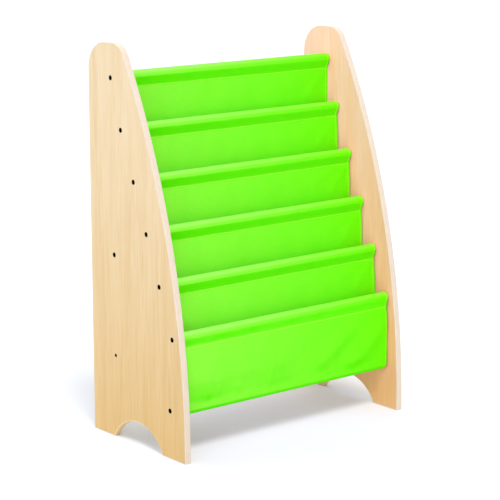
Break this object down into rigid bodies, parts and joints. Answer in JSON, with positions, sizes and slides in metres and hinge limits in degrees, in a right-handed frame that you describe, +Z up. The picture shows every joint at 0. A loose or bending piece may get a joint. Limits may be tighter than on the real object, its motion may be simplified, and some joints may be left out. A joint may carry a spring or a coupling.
{
  "type": "sling bookshelf",
  "caption": "Child's front-facing bookshelf with curved side panels and a cloth sling that hangs from round rods.",
  "frame": {"origin": "on the floor, at the middle of the footprint", "axes": "+Z up, +X to the shelf's right, +Y to its rear; the pockets face -Y"},
  "size_m": [0.66, 0.352, 0.911],
  "materials": {
    "laminate": "matt laminate with a fine vertical maple grain",
    "edge_band": "pale satin edge band",
    "rod": "sanded beech dowel",
    "screw": "blackened steel, satin",
    "cloth": "matt lime-green woven cloth"
  },
  "bodies": {
    "root": {"left_side_panel": "laminate", "left_edge_band": "edge_band", "right_side_panel": "laminate", "right_edge_band": "edge_band", "sling_rod_1": "rod", "sling_rod_1_screw_left": "screw", "sling_rod_1_screw_right": "screw", "sling_rod_2": "rod", "sling_rod_2_screw_left": "screw", "sling_rod_2_screw_right": "screw", "sling_rod_3": "rod", "sling_rod_3_screw_left": "screw", "sling_rod_3_screw_right": "screw", "sling_rod_4": "rod", "sling_rod_4_screw_left": "screw", "sling_rod_4_screw_right": "screw", "sling_rod_5": "rod", "sling_rod_5_screw_left": "screw", "sling_rod_5_screw_right": "screw", "sling_rod_6": "rod", "sling_rod_6_screw_left": "screw", "sling_rod_6_screw_right": "screw", "bottom_front_rod": "rod", "bottom_front_rod_screw_left": "screw", "bottom_front_rod_screw_right": "screw", "upper_rear_rod": "rod", "upper_rear_rod_screw_left": "screw", "upper_rear_rod_screw_right": "screw", "lower_rear_rod": "rod", "lower_rear_rod_screw_left": "screw", "lower_rear_rod_screw_right": "screw", "sling_pocket_1": "cloth", "sling_pocket_2": "cloth", "sling_pocket_3": "cloth", "sling_pocket_4": "cloth", "sling_pocket_5": "cloth", "front_apron": "cloth"}
  },
  "joints": []
}
